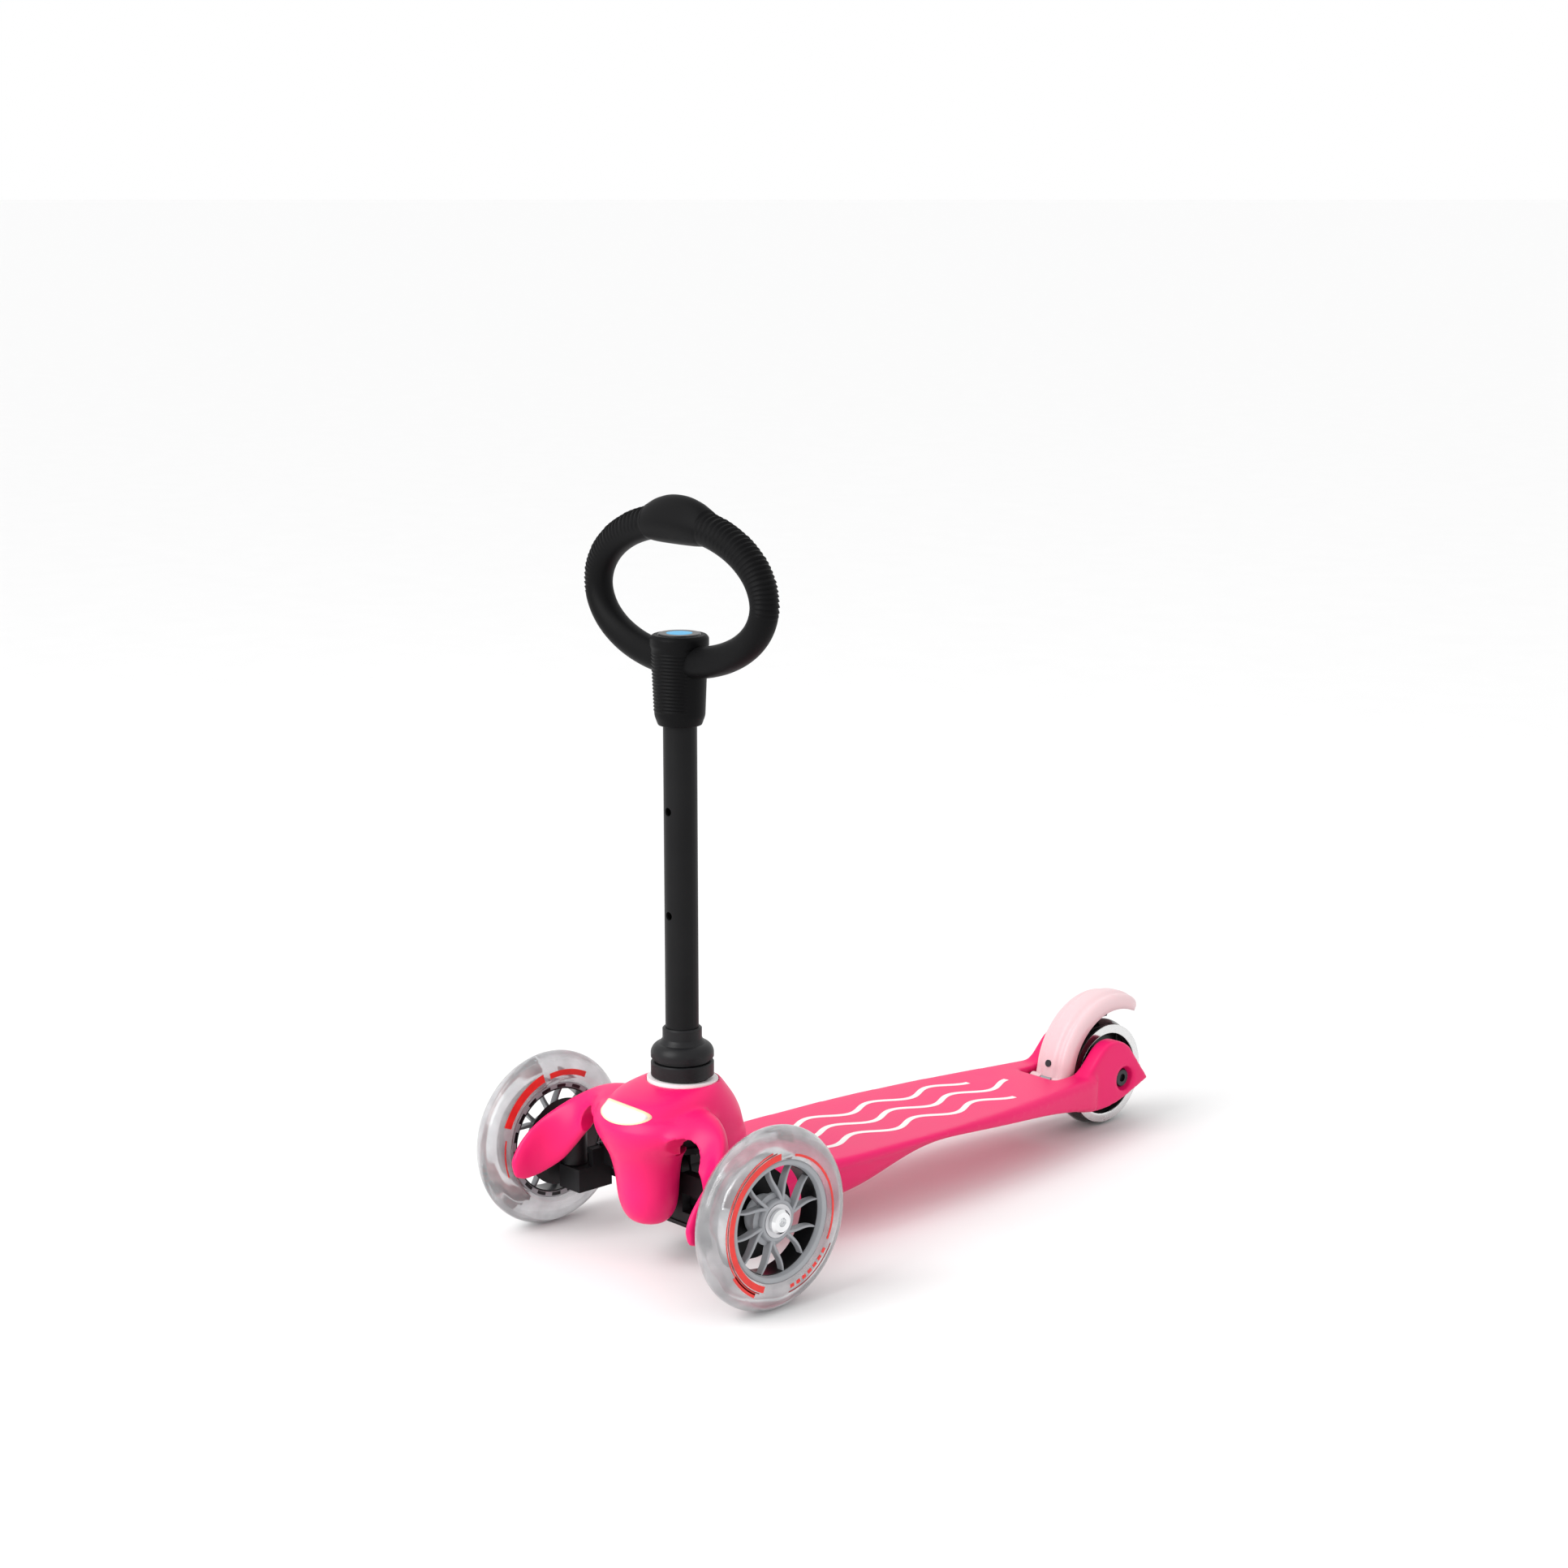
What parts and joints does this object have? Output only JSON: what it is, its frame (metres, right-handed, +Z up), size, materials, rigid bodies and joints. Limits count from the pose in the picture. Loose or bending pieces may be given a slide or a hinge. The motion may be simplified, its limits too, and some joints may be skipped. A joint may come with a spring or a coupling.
{
  "type": "kick scooter",
  "caption": "Toddler's lean-to-steer kick scooter: moulded deck, two steered front wheels, one braked rear wheel, upright stem with a ring handle.",
  "frame": {"origin": "on the ground under the middle of the scooter's length and width", "axes": "+Y to the rear along the deck, +X to the rider's left, +Z up along the stem"},
  "size_m": [0.2454, 0.5401, 0.5055],
  "materials": {
    "clear_tyre": "clear cast polyurethane",
    "grey_core": "moulded, satin",
    "black_core": "moulded, satin",
    "steel": "zinc plated",
    "spring_steel": "oiled spring wire",
    "black_steel": "black oxide",
    "chrome": "polished",
    "black_nylon": "glass-filled, fine grain",
    "bush_plastic": "moulded acetal",
    "black_tube": "black anodised, satin",
    "soft_black": "soft-touch, matt",
    "emblem_cap": "black with a blue printed mark",
    "white_ring": "satin",
    "pink_shell": "satin moulded",
    "pale_pink": "satin moulded, slightly translucent"
  },
  "bodies": {
    "chassis": {"deck": "pink_shell", "front_frame": "black_nylon", "deck_screws": "black_steel", "tilt_shaft": "steel", "shaft_end_caps": "steel", "return_spring": "spring_steel", "bottom_cover": "black_nylon", "cover_screws": "black_steel", "kingpins": "steel", "rear_axle_bolt": "black_steel", "rear_axle_nut": "steel", "rear_axle_spacers": "steel", "brake_pin": "steel", "brake_spring": "spring_steel"},
    "column": {"rocker": "black_nylon", "rocker_bushes": "bush_plastic", "socket_screws": "black_steel", "steering_socket": "black_nylon", "collar_ring": "white_ring", "stem_tube": "black_tube", "stem_base": "black_nylon", "hood": "pink_shell", "hood_screws": "black_steel", "o_bar": "soft_black", "o_bar_cap": "emblem_cap", "o_bar_screw": "black_steel"},
    "lock": {"lock_button": "soft_black"},
    "tie_link": {"tie_rod": "black_nylon"},
    "brake": {"brake_fender": "pale_pink", "brake_shoe": "soft_black", "brake_screw": "black_steel"},
    "steering_left": {"knuckle_left": "black_nylon", "kingpin_bush_left": "bush_plastic", "tie_pin_left": "steel", "axle_bolt_left": "chrome"},
    "steering_right": {"knuckle_right": "black_nylon", "kingpin_bush_right": "bush_plastic", "tie_pin_right": "steel", "axle_bolt_right": "chrome"},
    "wheel_left": {"tyre_left": "clear_tyre", "wheel_core_left": "grey_core", "bearings_left": "steel", "bearing_spacer_left": "steel"},
    "wheel_right": {"tyre_right": "clear_tyre", "wheel_core_right": "grey_core", "bearings_right": "steel", "bearing_spacer_right": "steel"},
    "wheel_rear": {"tyre_rear": "clear_tyre", "wheel_core_rear": "black_core", "bearings_rear": "steel", "bearing_spacer_rear": "steel"}
  },
  "joints": [
    {"name": "column_lean", "type": "hinge", "parent": "chassis", "child": "column", "pos_m": [0, -0.187, 0.061], "axis": [0, 1, 0], "range_deg": [-10, 10], "stiffness_Nm_per_rad": 20},
    {"name": "steer_left", "type": "hinge", "parent": "chassis", "child": "steering_left", "pos_m": [0.084, -0.211, 0.06], "axis": [0, 0, 1], "range_deg": [-8.05, 8.05]},
    {"name": "steer_right", "type": "hinge", "parent": "chassis", "child": "steering_right", "pos_m": [-0.084, -0.211, 0.06], "axis": [0, 0, 1], "range_deg": [-8.05, 8.05]},
    {"name": "tie_slide", "type": "slide", "parent": "chassis", "child": "tie_link", "axis": [1, 0, 0], "range_m": [-0.0038, 0.0038]},
    {"name": "spin_left", "type": "hinge", "parent": "steering_left", "child": "wheel_left", "pos_m": [0.11075, -0.211, 0.06], "axis": [1, 0, 0], "continuous": true},
    {"name": "spin_right", "type": "hinge", "parent": "steering_right", "child": "wheel_right", "pos_m": [-0.11075, -0.211, 0.06], "axis": [1, 0, 0], "continuous": true},
    {"name": "spin_rear", "type": "hinge", "parent": "chassis", "child": "wheel_rear", "pos_m": [0, 0.2254, 0.04], "axis": [1, 0, 0], "continuous": true},
    {"name": "brake_press", "type": "hinge", "parent": "chassis", "child": "brake", "pos_m": [0, 0.173, 0.042], "axis": [-1, 0, 0], "range_deg": [0, 3.5], "stiffness_Nm_per_rad": 4, "springref_deg": -5.73},
    {"name": "lock_press", "type": "slide", "parent": "column", "child": "lock", "axis": [0, -1, 0], "range_m": [0, 0.0018], "stiffness_N_per_m": 900, "springref_m": -0.001}
  ],
  "couplings": [
    {"joint": "steer_left", "follows": "column_lean", "ratio": 0.8},
    {"joint": "steer_right", "follows": "column_lean", "ratio": 0.8},
    {"joint": "tie_slide", "follows": "column_lean", "m_per_rad": -0.0208}
  ]
}
